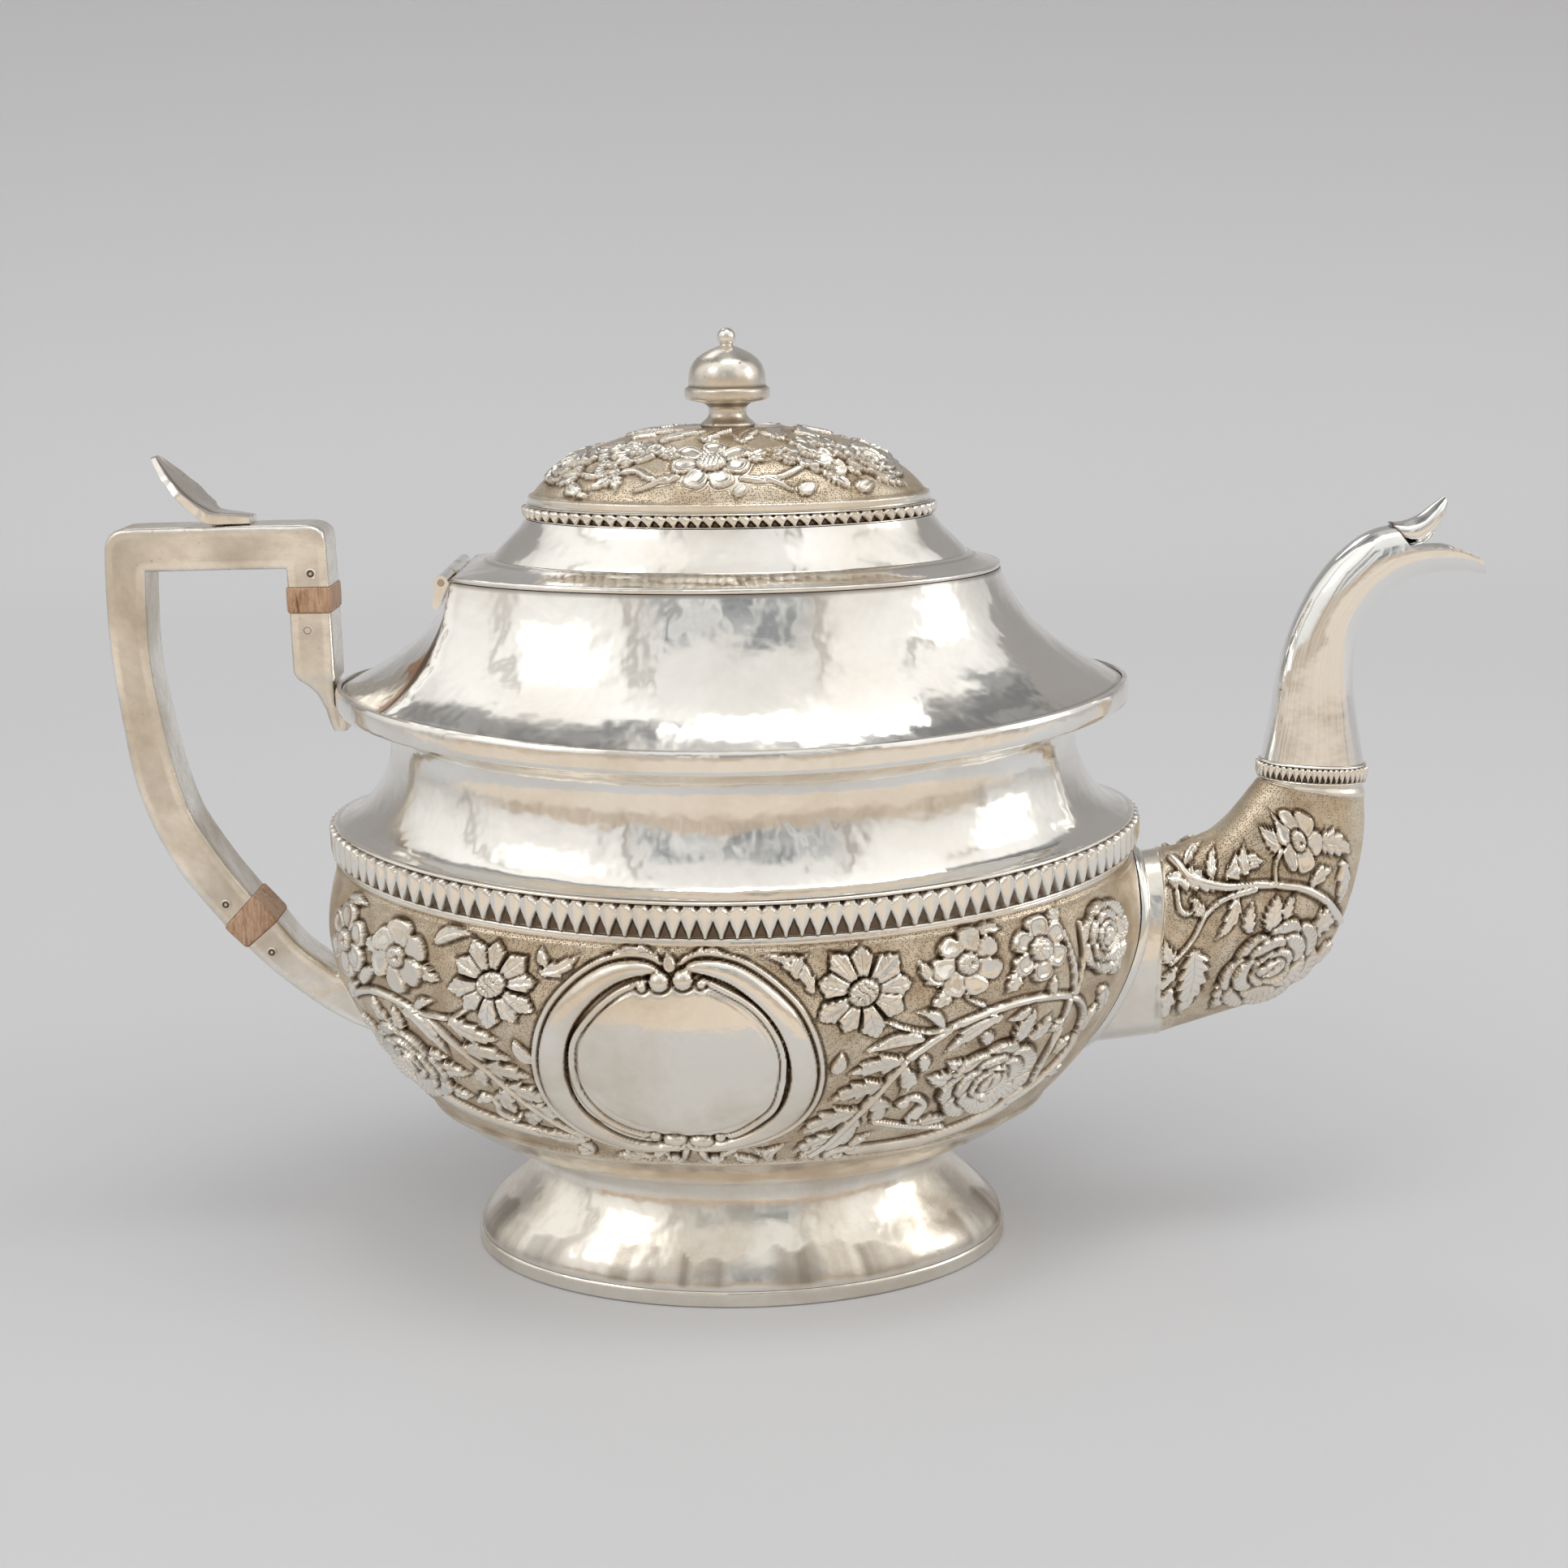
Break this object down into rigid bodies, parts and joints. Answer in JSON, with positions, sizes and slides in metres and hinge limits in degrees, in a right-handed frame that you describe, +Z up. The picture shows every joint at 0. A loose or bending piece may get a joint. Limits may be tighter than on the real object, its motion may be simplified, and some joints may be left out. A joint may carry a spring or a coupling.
{
  "type": "teapot",
  "caption": "Oval pedestal teapot in chased silver with a hinged domed lid, squared insulated handle with a leaf thumb rest and a curved spout.",
  "frame": {"origin": "bottom of the foot, under the middle of the overall length and width", "axes": "+X from the handle to the spout, +Z up, Y along the hinge pin of the lid"},
  "size_m": [0.262, 0.107, 0.181],
  "materials": {
    "silver": "hand burnished silver with chased and stippled ornament",
    "dark_silver": "tarnished silver",
    "insulator": "brown stained bone or wood"
  },
  "bodies": {
    "pot": {"foot_strip": "silver", "foot": "silver", "bowl": "silver", "bead_band": "silver", "neck": "silver", "shoulder_strip": "silver", "deck": "silver", "mouth_collar": "silver", "spout_root_collar": "silver", "spout_lower": "silver", "spout_bead_collar": "silver", "spout_upper": "silver", "spout_tip_leaf": "silver", "upper_socket": "silver", "upper_insulator": "insulator", "grip": "silver", "lower_insulator": "insulator", "lower_socket": "silver", "handle_pins": "dark_silver", "thumb_rest": "silver", "hinge_body_knuckles": "silver", "hinge_pin": "dark_silver"},
    "lid": {"hinge_lid_knuckle": "silver", "lid_flange": "silver", "lid_wall_ring": "silver", "lid_bead_ring": "silver", "lid_dome": "silver", "lid_bezel": "silver", "finial": "silver", "finial_nut": "dark_silver"}
  },
  "joints": [
    {"name": "lid_hinge", "type": "hinge", "parent": "pot", "child": "lid", "pos_m": [-0.0659, 0, 0.1362], "axis": [0, -1, 0], "range_deg": [0, 100]}
  ]
}
